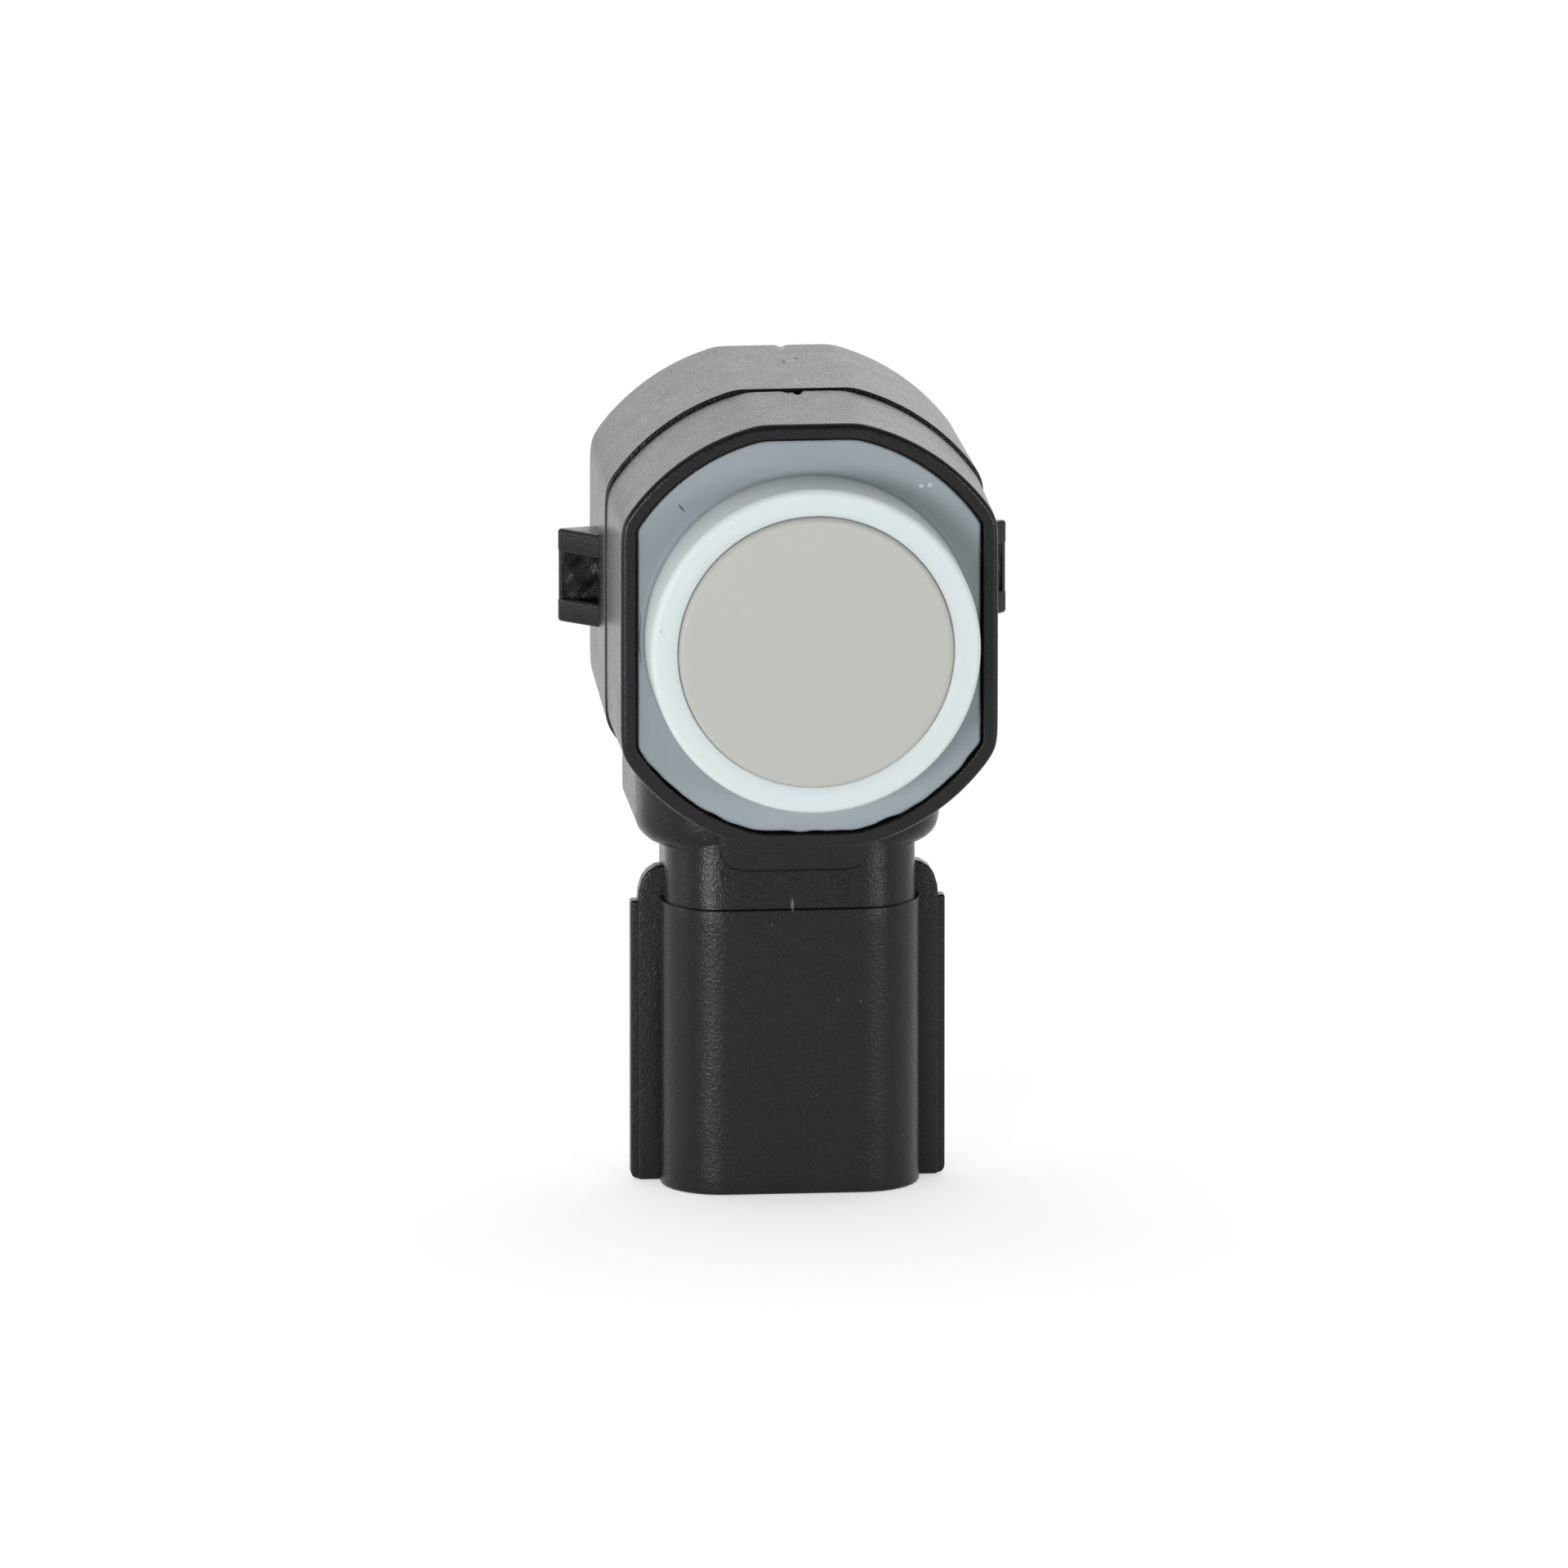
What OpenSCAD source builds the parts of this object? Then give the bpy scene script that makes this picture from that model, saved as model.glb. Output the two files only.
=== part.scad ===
// Ultrasonic parking sensor for a bumper.
// X runs across, Y to the back and Z up. The origin lies on the nose axis, in the plane of the front rim.

/* [Nose] */
// Diameter of the painted membrane face
face_d = 15.5; // [14.5:0.1:17]
// How far the face stands out in front of the rim
nose_out = 4.3; // [3:0.1:6]
// Wall of the soft collar round the face
collar_wall = 1.55; // [1.3:0.05:2]
// How far the face stands out of the collar
face_proud = 0.3; // [0.1:0.05:0.6]
// Bevel at the edge of the face
face_bevel = 0.3; // [0.1:0.05:0.5]
// Thickness of the vibrating membrane
membrane_t = 0.75; // [0.5:0.05:1.2]
// Wall at the sides of the cup
cup_wall = 1.35; // [1:0.05:1.8]
// How much lower than wide the cup's cavity is
cup_squeeze = 3.6; // [2.6:0.1:4.2]
// Radial height of the lip at the back of the cup
cup_lip = 0.55; // [0.3:0.05:0.6]

/* [Front ring] */
// Width of the soft flange that shows beside the collar
side_room = 0.45; // [0.4:0.05:1]
// How much higher than wide the ring is across its flats
flat_rise = 3.1; // [2:0.1:4]
// How much larger the round is than the height across the flats
round_rise = 0.6; // [0.3:0.05:1]
// Length of the ring from rim to seam
ring_len = 9.45; // [8.6:0.05:12]
// Width of the rim round the soft flange
rim_wall = 0.9; // [0.75:0.05:1.2]
// Bevel at the outer edge of the rim
rim_bevel = 0.45; // [0.2:0.05:0.6]
// Wall of the ring behind its web
ring_wall = 0.95; // [0.8:0.05:1.1]
// Thickness of the web that carries the soft flange
web_t = 1.3; // [0.9:0.05:1.6]
// Width of the seam groove
seam_w = 0.28; // [0.15:0.01:0.5]
// Depth of the seam groove
seam_deep = 0.5; // [0.3:0.05:0.6]
// Width of the small nick in the seam at the top
nick_w = 1.0; // [0.6:0.1:2]

/* [Soft ring] */
// How far the flange lies behind the rim
flange_set = 0.3; // [0.1:0.05:0.6]
// Thickness of the flange
flange_t = 2.0; // [1.5:0.1:2.6]
// Bevel at the front edge of the collar
collar_bevel = 0.35; // [0.15:0.05:0.6]
// Flare at the foot of the collar
collar_flare = 0.25; // [0.1:0.05:0.3]
// Wall of the sleeve in the web's hole
sleeve_wall = 1.2; // [0.8:0.05:1.25]
// Radial height of the bead behind the web
bead_out = 0.55; // [0.3:0.05:0.6]
// Length of the bead behind the web
bead_len = 1.8; // [1.5:0.1:2.4]

/* [Housing] */
// Length of the barrel from seam to back
barrel_len = 13.35; // [10:0.05:16]
// How far the barrel's flats stand out of the front ring
barrel_step = 0.08; // [0.01:0.01:0.3]
// How far the barrel's round stands out of the front ring
barrel_rise = 0.2; // [0.05:0.01:0.4]
// How much the barrel's sides lean in towards the back
barrel_draft = 0.3; // [0:0.05:0.5]
// Wall of the barrel and the shoulder
shell_wall = 1.4; // [1.1:0.05:1.7]
// Thickness of the wall at the seam
front_wall = 1.5; // [1.2:0.1:2]
// Length of the spigot inside the front ring
spigot_len = 2.2; // [1.2:0.1:2.8]
// Wall of the spigot
spigot_wall = 0.9; // [0.7:0.05:1.2]

/* [Clip ears] */
// How far an ear stands out of the side flat
ear_out = 2.1; // [1.4:0.05:2.6]
// Height of an ear
ear_h = 5.35; // [4:0.05:6]
// Height of the ears' middle above the nose axis
ear_z = 0.1; // [-1:0.1:1]
// From the seam to the start of the ramp
ear_start = 5.7; // [3:0.05:6]
// Length of the ramp
ear_ramp = 2.0; // [1.6:0.05:3]
// Length of the ear's crest
ear_crest = 0.3; // [0.2:0.05:0.6]
// Length of the slope behind the crest
ear_back = 0.5; // [0.3:0.05:1.4]
// Height of the cored pocket
pocket_h = 2.6; // [1.6:0.1:2.8]
// Wall left between the pocket and the crest
pocket_wall = 0.6; // [0.4:0.05:0.9]

/* [Shoulder and neck] */
// Width of the shoulder under the barrel
shoulder_w = 17.2; // [16.6:0.1:19]
// Distance from the nose axis down to the shoulder's underside
shoulder_drop = 14.55; // [14.4:0.05:17]
// Radius of the shoulder's lower corners
shoulder_r = 1.3; // [1:0.1:2.4]
// Radius of the shoulder's upright front edges
shoulder_edge_r = 4.5; // [1:0.1:5]
// Radius of the shoulder's lower front edge
shoulder_chin_r = 1.7; // [0.8:0.1:2]
// Width of the neck
neck_w = 14.2; // [13.4:0.1:14.5]
// Height of the neck
neck_h = 3.15; // [2.6:0.05:5]
// How far the neck's front lies behind the seam
neck_set = 0.4; // [0.2:0.05:0.6]
// Width of the pad under the front ring
pad_w = 8.06; // [6:0.1:9]
// How far the pad reaches below the shoulder
pad_low = 1.0; // [0.2:0.05:1.4]
// How far the pad stands out in front of the seam
pad_out = 0.45; // [0.3:0.05:0.9]
// Radius of the pad's upright edges
pad_r = 0.8; // [0.2:0.05:1]

/* [Plug socket] */
// Width of the shroud
plug_w = 14.7; // [14.6:0.1:16]
// Depth of the shroud from front to back
plug_deep = 10.4; // [10:0.1:12]
// Length of the shroud
plug_len = 16.5; // [14.5:0.05:20]
// Radius of the shroud's upright edges
plug_r = 3.5; // [2.5:0.1:4]
// Wall of the shroud
plug_wall = 1.25; // [1:0.05:1.5]
// How far the shroud's front stands out in front of the seam
plug_out = 0.45; // [0.2:0.05:0.8]
// Depth of the socket
socket_deep = 14.6; // [13:0.1:15.4]
// Depth of a side rail from front to back
rail_deep = 3.0; // [2:0.1:4]
// How far a side rail stands out of the shroud
rail_out = 1.57; // [1:0.01:2.2]
// How much less the rounded top of the rail stands out
rail_step = 0.38; // [0.2:0.01:0.7]
// How far the wide part of the rail starts below the shroud's top
rail_low = 0.5; // [0.1:0.05:0.8]
// Height of the rounded top above the wide part of the rail
rail_top = 2.25; // [1.7:0.05:2.4]
// Radius of the rounded top of the rail
rail_r = 1.5; // [0.6:0.05:1.6]
// How far the rail ends above the shroud's mouth
rail_short = 0.15; // [0.1:0.05:1]
// Bevel at the rail's lower corner
rail_bevel = 0.4; // [0.2:0.05:0.8]
// Width of the lock nib on the shroud's back
nib_w = 4.4; // [3:0.1:6]
// How far the lock nib stands out
nib_out = 0.8; // [0.5:0.05:1.2]
// Length of the lock nib
nib_len = 2.6; // [1.8:0.1:4]
// Distance from the mouth to the lock nib
nib_up = 3.4; // [2:0.1:5]

/* [Terminals] */
// Distance between neighbouring blades
blade_pitch = 3.3; // [2.6:0.1:3.6]
// Width of a blade
blade_w = 1.2; // [0.8:0.05:1.5]
// Thickness of a blade
blade_t = 0.6; // [0.5:0.05:0.8]
// Length of a blade inside the socket
blade_len = 9.2; // [7:0.1:10]
// Bevel at a blade's tip
blade_tip = 0.35; // [0.2:0.05:0.4]
// How far the blades stand behind the middle of the shroud
blade_set = 0.85; // [0.5:0.05:1]

/* [Electronics] */
// Thickness of the circuit board
board_t = 1.0; // [0.8:0.1:1.2]
// Height of the posts under the board
post_h = 1.9; // [1.5:0.1:2.2]
// Gap between the board and the barrel
board_gap = 0.35; // [0.2:0.05:0.6]
// How far the resin lies below the barrel's back edge
resin_set = 0.5; // [0.3:0.05:1]
// Diameter of a contact pin
pin_d = 0.8; // [0.6:0.05:1]
// Distance between the two contact pins
pin_pitch = 4.4; // [4:0.1:5]
// Diameter of the contact carrier
carrier_d = 10.4; // [9.4:0.1:12]
// Thickness of the contact carrier
carrier_t = 2.0; // [1.6:0.1:2.4]
// Diameter of the piezo disc
piezo_d = 7.2; // [6.6:0.1:8]
// Thickness of the piezo disc
piezo_t = 0.3; // [0.2:0.05:0.5]
// Thickness of the damping foam
foam_t = 2.0; // [1.4:0.1:2.4]
// Diameter of a lead wire
lead_d = 0.4; // [0.3:0.05:0.5]

/* [Fits] */
// Gap between moulded pieces that slide into each other
slide_gap = 0.05; // [0.03:0.01:0.1]
// Gap round pressed and glued pieces
glue_gap = 0.02; // [0.01:0.01:0.05]

/* [Hidden] */
$fn = 96;

// Reach of a cut past the face that it opens
over = 1;
// Overlap of two shapes that are joined into one solid
bite = 0.4;

// Places along the nose axis, from the face to the back
face_y = -nose_out;
collar_front_y = face_y + face_proud;
web_y = flange_set + flange_t;
web_back_y = web_y + web_t;
bead_back_y = web_back_y + bead_len;
lip_wall = 0.55;
cup_back_y = bead_back_y - lip_wall - glue_gap;
cup_lip_y = web_back_y + glue_gap;
membrane_back_y = face_y + membrane_t;
seam_y = ring_len;
spigot_y = seam_y - spigot_len;
inner_y = seam_y + front_wall;
board_y = inner_y + post_h;
board_back_y = board_y + board_t;
back_y = seam_y + barrel_len;
resin_y = back_y - resin_set;

// Sizes of the ring, worked out from the face outwards
cup_r = face_d / 2;
collar_r = cup_r + collar_wall;
ring_w = 2 * (collar_r + side_room + rim_wall);
ring_h = ring_w + flat_rise;
ring_d = ring_h + round_rise;

// Radii of the nose
cup_lip_r = cup_r + cup_lip;
collar_bore_r = cup_r + glue_gap;
sleeve_r = cup_r + sleeve_wall;
bead_r = sleeve_r + bead_out;

// Inside of the cup
foam_back_y = membrane_back_y + foam_t;
seal_back_y = cup_back_y - 0.3;
cup_w = face_d - 2 * cup_wall;
cup_h = cup_w - cup_squeeze;
cup_corner_r = 2.6;

// Shoulder, neck and shroud, with heights measured on Z
barrel_w = ring_w + 2 * barrel_step;
barrel_h = ring_h + 2 * barrel_step;
barrel_r = ring_d / 2 + barrel_rise;
shoulder_z = -shoulder_drop;
shoulder_floor_z = shoulder_z + shell_wall;
plug_top_z = shoulder_z - neck_h;
plug_z = plug_top_z - plug_len;
plug_front_y = seam_y - plug_out;
plug_back_y = plug_front_y + plug_deep;
plug_mid_y = plug_front_y + plug_deep / 2;
neck_front_y = seam_y + neck_set;
neck_back_y = plug_back_y - neck_set;
pad_front_y = seam_y - pad_out;
socket_top_z = plug_z + socket_deep;
rail_x = plug_w / 2 + rail_out;
rail_top_x = rail_x - rail_step;
rail_z = plug_z + rail_short;
rail_head_z = plug_top_z - rail_low;
nib_z = plug_z + nib_up;

// Terminals: a blade in the socket, then a bend at the board
blade_y = plug_mid_y + blade_set;
blade_z = socket_top_z - blade_len;
tail_z = -(barrel_h / 2 - shell_wall) + 1.5;
tail_y = board_y - 0.7;
blade_places = [-blade_pitch, 0, blade_pitch];

// Clip ears
ear_x = barrel_w / 2 - barrel_draft * ear_start / barrel_len;
ear_y = seam_y + ear_start;
ear_tip_y = ear_y + ear_ramp;
ear_heel_y = ear_tip_y + ear_crest;
ear_root_y = ear_heel_y + ear_back;

// Contact pins, carrier and its pegs
pin_r = pin_d / 2;
carrier_y = seam_y - carrier_t;
pin_front_y = carrier_y - 0.6;
pin_back_y = board_back_y + 0.9;
peg_r = 0.7;
peg_z = 3.4;
peg_len = front_wall - 0.3;

// Posts that carry the board
post_r = 1.0;
post_places = [[-6.2, 6.2], [6.2, 6.2], [-6.2, -6.2], [6.2, -6.2]];

// Lead wires, from the cup to the contact pins
lead_r = lead_d / 2;
lead_end_y = pin_front_y;
piezo_back_y = membrane_back_y + piezo_t;
ground_x = (piezo_d / 2 + cup_w / 2) / 2;
jog_y = (cup_back_y + lead_end_y) / 2;
lead_bend_r = 0.3 * (lead_end_y - cup_back_y);

// Parts on the board: place on X and Z, then size on X, Z and height
chip_at = [4.2, 4.4];
chip_size = [4.4, 5.0, 1.0];
chip_lift = 0.1;
chip_pitch = 0.65;
chip_lead_w = 0.25;
chip_lead_t = 0.15;
chip_lead_reach = 1.0;
chip_rows = 7;
core_at = [-4.9, 4.4];
core_size = [5.4, 5.8, 4.4];
core_end = 0.8;
core_post_r = 0.9;
coil_gap = 0.15;
store_at = [-5.3, -3.2];
store_size = [3.5, 2.8, 1.9];
diode_at = [5.3, -3.0];
diode_size = [2.7, 1.6, 1.1];
filter_size = [2.0, 1.25, 1.0];
filter_places = [[-3.3, -6.6], [0, -6.6], [3.3, -6.6]];
resistor_size = [1.6, 0.8, 0.45];
resistor_places = [[0, 3.4], [0, 5.2], [0, 7.0], [0, -3.2], [5.3, -0.2], [-5.3, -0.4]];

// Outline of a circle with four flats
module trimmed_round(r, half_w, half_h) {
    intersection() {
        circle(r, $fn = 180);
        square([2 * half_w, 2 * half_h], center = true);
    }
}

// Outline of the barrel or ring, drawn in by a given amount
module ring_outline(inset = 0) {
    trimmed_round(ring_d / 2 - inset, ring_w / 2 - inset, ring_h / 2 - inset);
}

// Rectangle with true round corners
module round_rect(w, h, r) {
    square([w - 2 * r, h], center = true);
    square([w, h - 2 * r], center = true);
    for (sx = [-1, 1], sy = [-1, 1]) {
        translate([sx * (w / 2 - r), sy * (h / 2 - r)]) circle(r);
    }
}

// Extrusion of an outline in X and Z along Y
module along_y(y0, y1) {
    translate([0, y1, 0]) rotate([90, 0, 0]) linear_extrude(y1 - y0) children();
}

// Revolved outline, drawn as radius and Y
module about_y() {
    rotate([90, 0, 0]) rotate_extrude() mirror([0, 1]) children();
}

// Round bar along Y
module rod_y(r, y0, y1, x = 0, z = 0) {
    translate([x, y1, z]) rotate([90, 0, 0]) cylinder(r = r, h = y1 - y0);
}

// Box that stands on the back of the board
module on_board(at, size, lift = 0) {
    translate([at[0] - size[0] / 2, board_back_y + lift, at[1] - size[1] / 2]) {
        cube([size[0], size[2], size[1]]);
    }
}

// Cutter that keeps a bevel round the rim of the front ring
module rim_bevel_keep() {
    long = ring_len + over;
    about_y() polygon([
        [0, 0], [ring_d / 2 - rim_bevel, 0], [ring_d / 2 - rim_bevel + long, long], [0, long]
    ]);
}

// Prism that keeps a bevel along a pair of flats
module flat_bevel_keep(half, reach) {
    long = ring_len + over;
    linear_extrude(2 * reach, center = true) polygon([
        [-(half - rim_bevel), 0], [half - rim_bevel, 0],
        [half - rim_bevel + long, long], [-(half - rim_bevel + long), long]
    ]);
}

module front_ring_blank() {
    intersection() {
        along_y(0, seam_y) ring_outline();
        rim_bevel_keep();
        flat_bevel_keep(ring_w / 2, ring_d);
        rotate([0, 90, 0]) flat_bevel_keep(ring_h / 2, ring_d);
    }
}

// The seam groove: the outer skin of the ring ends short of the housing
module seam_groove() {
    along_y(seam_y - seam_w, seam_y + over) {
        difference() {
            square(2 * ring_d, center = true);
            ring_outline(seam_deep);
        }
    }
}

module front_ring() {
    nick_deep = seam_deep;
    color([0.17, 0.16, 0.15]) difference() {
        front_ring_blank();
        along_y(-over, web_y) ring_outline(rim_wall);
        rod_y(sleeve_r + glue_gap, 0, seam_y);
        along_y(web_back_y, seam_y + over) ring_outline(ring_wall);
        seam_groove();
        translate([-nick_w / 2, seam_y - 2 * seam_w, ring_h / 2 - nick_deep]) {
            cube([nick_w, seam_w + bite, nick_deep + over]);
        }
    }
}

// Section of the soft ring: collar, sleeve, bead and the groove that grips the cup
module soft_section() {
    grip_r = cup_lip_r + glue_gap;
    grip_y = cup_lip_y - glue_gap;
    hold_r = cup_r - 0.2;
    bead_slope = bead_out / 2;
    polygon([
        [collar_bore_r, collar_front_y],
        [collar_r - collar_bevel, collar_front_y],
        [collar_r, collar_front_y + collar_bevel],
        [collar_r, flange_set - collar_flare],
        [collar_r + collar_flare, flange_set],
        [collar_r + collar_flare, web_y],
        [sleeve_r, web_y],
        [sleeve_r, web_back_y],
        [bead_r, web_back_y],
        [bead_r, bead_back_y - bead_slope],
        [bead_r - bead_slope, bead_back_y],
        [hold_r, bead_back_y],
        [hold_r, bead_back_y - lip_wall],
        [grip_r, bead_back_y - lip_wall],
        [grip_r, grip_y],
        [collar_bore_r, grip_y]
    ]);
}

module decoupling_ring() {
    color([0.82, 0.86, 0.87]) union() {
        about_y() soft_section();
        difference() {
            along_y(flange_set, web_y) ring_outline(rim_wall + slide_gap);
            rod_y(collar_r - bite, 0, seam_y);
        }
    }
}

// Cavity of the cup: wider than high, so that the beam is wider than high too
module cup_cavity(y0, y1, gap = 0) {
    along_y(y0, y1) round_rect(cup_w - 2 * gap, cup_h - 2 * gap, cup_corner_r);
}

module membrane_pot() {
    color([0.73, 0.72, 0.68]) difference() {
        about_y() polygon([
            [0, face_y], [cup_r - face_bevel, face_y], [cup_r, face_y + face_bevel],
            [cup_r, cup_lip_y], [cup_lip_r, cup_lip_y], [cup_lip_r, cup_back_y], [0, cup_back_y]
        ]);
        cup_cavity(membrane_back_y, cup_back_y + over);
    }
}

module piezo_disc() {
    color([0.80, 0.74, 0.55]) rod_y(piezo_d / 2, membrane_back_y, piezo_back_y);
}

module damping_foam() {
    color([0.30, 0.31, 0.33]) difference() {
        cup_cavity(membrane_back_y, foam_back_y, glue_gap);
        rod_y(piezo_d / 2 + glue_gap, membrane_back_y - over, piezo_back_y);
        lead_holes(foam_back_y);
    }
}

module pot_seal() {
    color([0.62, 0.60, 0.55]) difference() {
        cup_cavity(foam_back_y, seal_back_y, glue_gap);
        lead_holes(seal_back_y);
    }
}

// Passage for both lead wires through the fill of the cup
module lead_holes(y1) {
    rod_y(lead_r + glue_gap, membrane_back_y - over, y1 + over, -pin_pitch / 2, 0);
    rod_y(lead_r + glue_gap, membrane_back_y - over, y1 + over, ground_x, 0);
}

// Quarter bend of a lead, from +X round to +Y about its own centre
module lead_bend() {
    rotate_extrude(angle = 90) translate([lead_bend_r, 0]) circle(lead_r, $fn = 32);
}

module piezo_lead() {
    color([0.72, 0.10, 0.08]) rod_y(lead_r, piezo_back_y, lead_end_y, -pin_pitch / 2, 0);
}

// The ground lead jogs from the cup's wall across to its pin
module ground_lead() {
    pin_x = pin_pitch / 2;
    cross = ground_x - pin_x - 2 * lead_bend_r;
    color([0.12, 0.12, 0.13]) union() {
        rod_y(lead_r, membrane_back_y, jog_y - lead_bend_r, ground_x, 0);
        translate([ground_x - lead_bend_r, jog_y - lead_bend_r, 0]) lead_bend();
        translate([pin_x + lead_bend_r, jog_y, 0]) rotate([0, 90, 0]) cylinder(r = lead_r, h = cross);
        translate([pin_x + lead_bend_r, jog_y + lead_bend_r, 0]) rotate(180) lead_bend();
        rod_y(lead_r, jog_y + lead_bend_r, lead_end_y, pin_x, 0);
    }
}

module contact_carrier() {
    color([0.20, 0.20, 0.21]) difference() {
        union() {
            rod_y(carrier_d / 2, carrier_y, seam_y);
            for (s = [-1, 1]) {
                rod_y(peg_r, seam_y - bite, seam_y + peg_len, 0, s * peg_z);
            }
        }
        for (s = [-1, 1]) {
            rod_y(pin_r + glue_gap, carrier_y - over, back_y, s * pin_pitch / 2, 0);
        }
    }
}

module contact_pin(side) {
    color([0.83, 0.78, 0.62]) rod_y(pin_r, pin_front_y, pin_back_y, side * pin_pitch / 2, 0);
}

module contact_pin_left() {
    contact_pin(-1);
}

module contact_pin_right() {
    contact_pin(1);
}

// Outline of the space inside the barrel, drawn in by a given amount
module cavity_outline(inset = 0) {
    trimmed_round(
        barrel_r - shell_wall - inset, barrel_w / 2 - shell_wall - inset, barrel_h / 2 - shell_wall - inset
    );
}

// Space inside the barrel and the shoulder, from the front wall to a given depth
module cavity(y1) {
    pocket_w = shoulder_w - 2 * shell_wall;
    along_y(inner_y, y1) cavity_outline();
    translate([-pocket_w / 2, inner_y, shoulder_floor_z]) {
        cube([pocket_w, y1 - inner_y, -shoulder_floor_z - barrel_h / 4]);
    }
}

// Clip ear on the right side flat: a ramp, a crest and a cored pocket
module ear() {
    deep = ear_x - bite - barrel_draft;
    pocket_x = ear_x + ear_out - pocket_wall;
    translate([0, 0, ear_z]) difference() {
        linear_extrude(ear_h, center = true) polygon([
            [deep, ear_y], [ear_x, ear_y], [ear_x + ear_out, ear_tip_y],
            [ear_x + ear_out, ear_heel_y], [ear_x, ear_root_y], [deep, ear_root_y]
        ]);
        translate([ear_x, ear_y - over, -pocket_h / 2]) {
            cube([pocket_x - ear_x, ear_ramp + over, pocket_h]);
        }
    }
}

// Prism that keeps a pair of the barrel's flats, which lean in towards the back
module barrel_flat_keep(half) {
    linear_extrude(4 * barrel_r, center = true) polygon([
        [-half, seam_y], [half, seam_y], [half - barrel_draft, back_y], [barrel_draft - half, back_y]
    ]);
}

// Barrel: a round with four flats
module barrel() {
    intersection() {
        translate([0, back_y, 0]) rotate([90, 0, 0]) {
            cylinder(r1 = barrel_r - barrel_draft, r2 = barrel_r, h = barrel_len, $fn = 180);
        }
        barrel_flat_keep(barrel_w / 2);
        rotate([0, 90, 0]) barrel_flat_keep(barrel_h / 2);
    }
}

// Shoulder: rounded below and at its upright front edges, flush with the seam
module shoulder() {
    top_z = -barrel_h / 4;
    high = top_z - shoulder_z;
    intersection() {
        along_y(seam_y, back_y) {
            translate([0, (top_z + shoulder_z) / 2 + shoulder_r]) {
                round_rect(shoulder_w, high + 2 * shoulder_r, shoulder_r);
            }
        }
        upright(shoulder_w, seam_y, 2 * back_y - seam_y, shoulder_edge_r, shoulder_z - over, top_z);
        rotate([90, 0, 90]) linear_extrude(2 * shoulder_w, center = true) {
            translate([back_y, (top_z + shoulder_z) / 2 + shoulder_chin_r]) {
                round_rect(2 * barrel_len, high + 2 * shoulder_chin_r, shoulder_chin_r);
            }
        }
    }
}

// Upright block with rounded edges, from one height to another
module upright(w, y0, y1, r, z0, z1) {
    translate([0, (y0 + y1) / 2, z0]) linear_extrude(z1 - z0) round_rect(w, y1 - y0, r);
}

// Side rail on the right: a long lower part and a rounded top
module rail() {
    root_x = neck_w / 2 - bite;
    round_x = rail_top_x - rail_r;
    along_y(plug_mid_y - rail_deep / 2, plug_mid_y + rail_deep / 2) {
        polygon([
            [root_x, rail_z], [rail_x - rail_bevel, rail_z], [rail_x, rail_z + rail_bevel],
            [rail_x, rail_head_z], [root_x, rail_head_z]
        ]);
        intersection() {
            translate([round_x, rail_head_z + rail_top - rail_r]) {
                circle(rail_r);
                translate([-rail_r, -rail_top]) square([2 * rail_r, rail_top]);
            }
            translate([root_x, rail_head_z - bite]) square(rail_top + rail_r);
        }
    }
}

// Lock nib on the back of the shroud: a ramp that rises from the mouth
module lock_nib() {
    nib_flat = 0.6;
    translate([-nib_w / 2, 0, 0]) rotate([90, 0, 90]) linear_extrude(nib_w) polygon([
        [plug_back_y - bite, nib_z], [plug_back_y, nib_z],
        [plug_back_y + nib_out, nib_z + nib_len - nib_flat],
        [plug_back_y + nib_out, nib_z + nib_len], [plug_back_y - bite, nib_z + nib_len]
    ]);
}

// Outside of the housing, before it is hollowed
module housing_blank() {
    root_z = -barrel_h / 2 + shell_wall;
    barrel();
    ear();
    mirror([1, 0, 0]) ear();
    shoulder();
    upright(neck_w, neck_front_y, neck_back_y, plug_r - neck_set, plug_top_z - bite, root_z);
    upright(plug_w, plug_front_y, plug_back_y, plug_r, plug_z, plug_top_z);
    upright(pad_w, pad_front_y, plug_mid_y, pad_r, shoulder_z - pad_low, -barrel_h / 2 - slide_gap);
    rail();
    mirror([1, 0, 0]) rail();
    lock_nib();
}

// Spigot that guides the front ring
module spigot() {
    along_y(spigot_y, seam_y + bite) difference() {
        ring_outline(ring_wall + slide_gap);
        ring_outline(ring_wall + slide_gap + spigot_wall);
    }
}

// Passages of the contact pins and the carrier's pegs in the front wall
module front_wall_holes() {
    for (s = [-1, 1]) {
        rod_y(pin_r + glue_gap, seam_y - over, inner_y + over, s * pin_pitch / 2, 0);
        rod_y(peg_r + glue_gap, seam_y - over, seam_y + peg_len, 0, s * peg_z);
    }
}

module housing() {
    socket_r = plug_r - plug_wall;
    color([0.15, 0.15, 0.15]) difference() {
        union() {
            difference() {
                housing_blank();
                cavity(back_y + over);
            }
            spigot();
            for (p = post_places) {
                rod_y(post_r, inner_y - bite, board_y, p[0], p[1]);
            }
        }
        front_wall_holes();
        upright(
            plug_w - 2 * plug_wall, plug_front_y + plug_wall, plug_back_y - plug_wall,
            socket_r, plug_z - over, socket_top_z
        );
        for (x = blade_places) {
            translate([x - blade_w / 2, blade_y - blade_t / 2, socket_top_z - over]) {
                cube([blade_w, blade_t, over + shoulder_floor_z - socket_top_z + over]);
            }
        }
    }
}

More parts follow.
